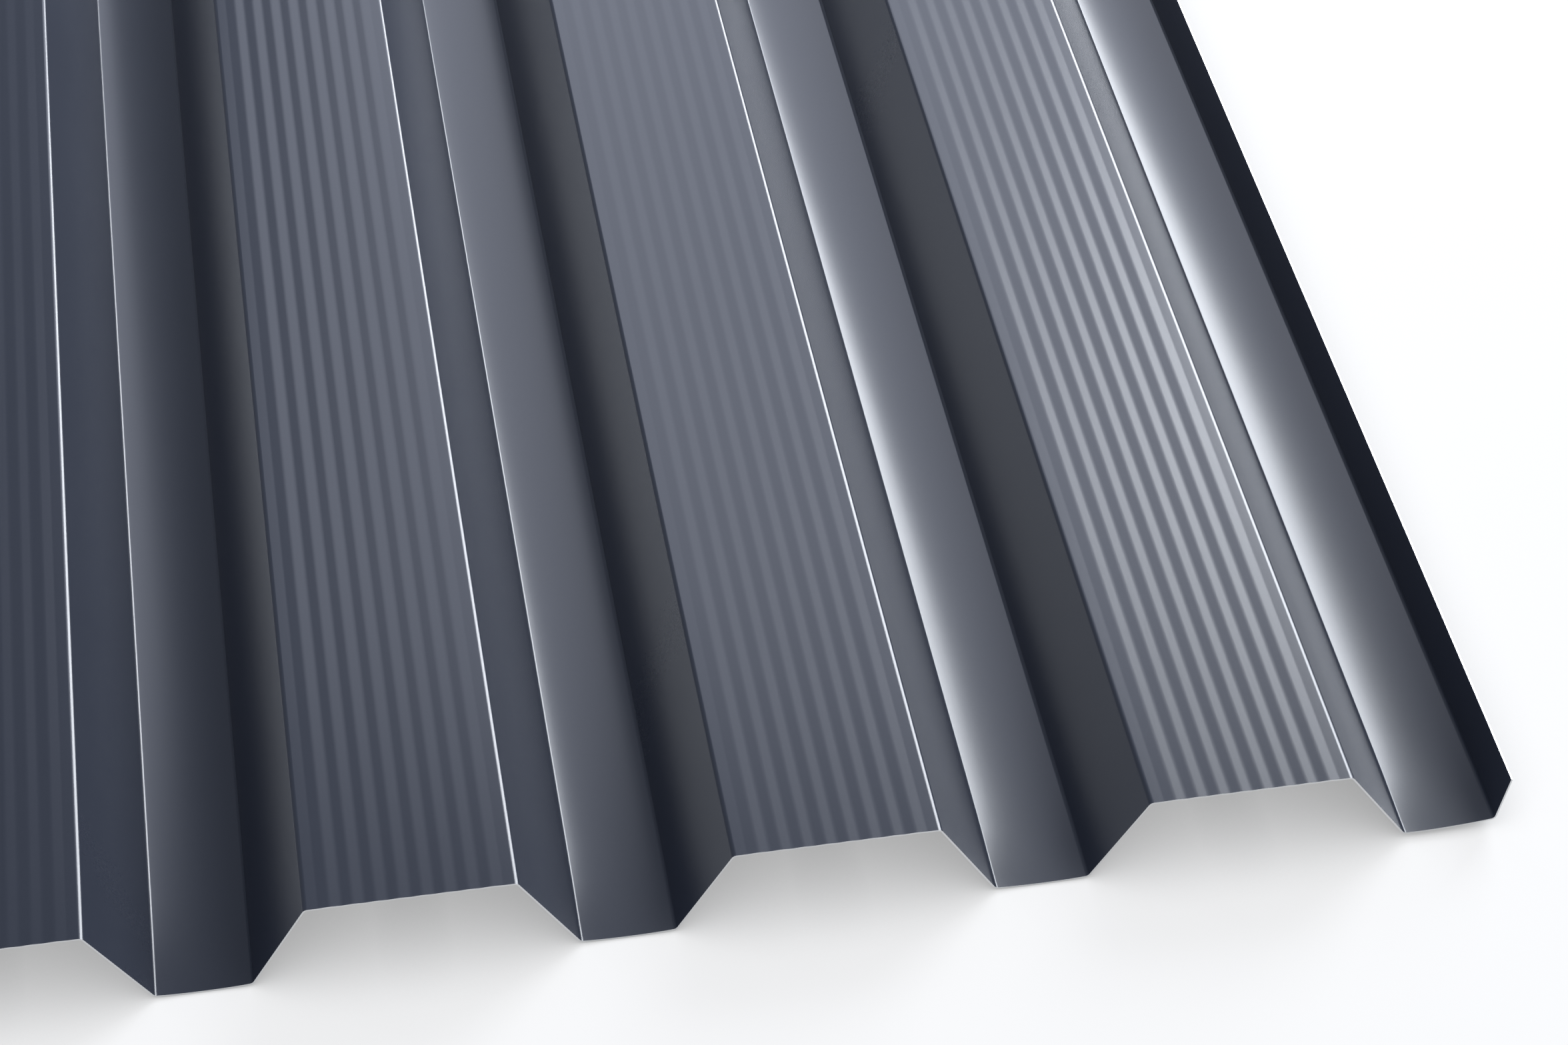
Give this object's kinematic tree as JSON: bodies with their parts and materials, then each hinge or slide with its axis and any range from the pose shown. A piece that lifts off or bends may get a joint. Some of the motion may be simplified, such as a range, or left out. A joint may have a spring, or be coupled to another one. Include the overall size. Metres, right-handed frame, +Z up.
{
  "type": "trapezoidal corrugated metal sheet",
  "caption": "Trapezoidal profiled metal sheet with wide finely ribbed pans, narrow plain troughs and a short lap leg along each long edge.",
  "frame": {"origin": "centre of the sheet's footprint, on the floor it lies on", "axes": "+Y along the sheet's length, +X across its troughs, +Z up out of the ribbed pans"},
  "size_m": [0.9722, 2, 0.044],
  "materials": {
    "coated_steel": "satin anthracite coil coating on galvanized steel"
  },
  "bodies": {
    "root": {"trapezoidal_sheet": "coated_steel"}
  },
  "joints": []
}
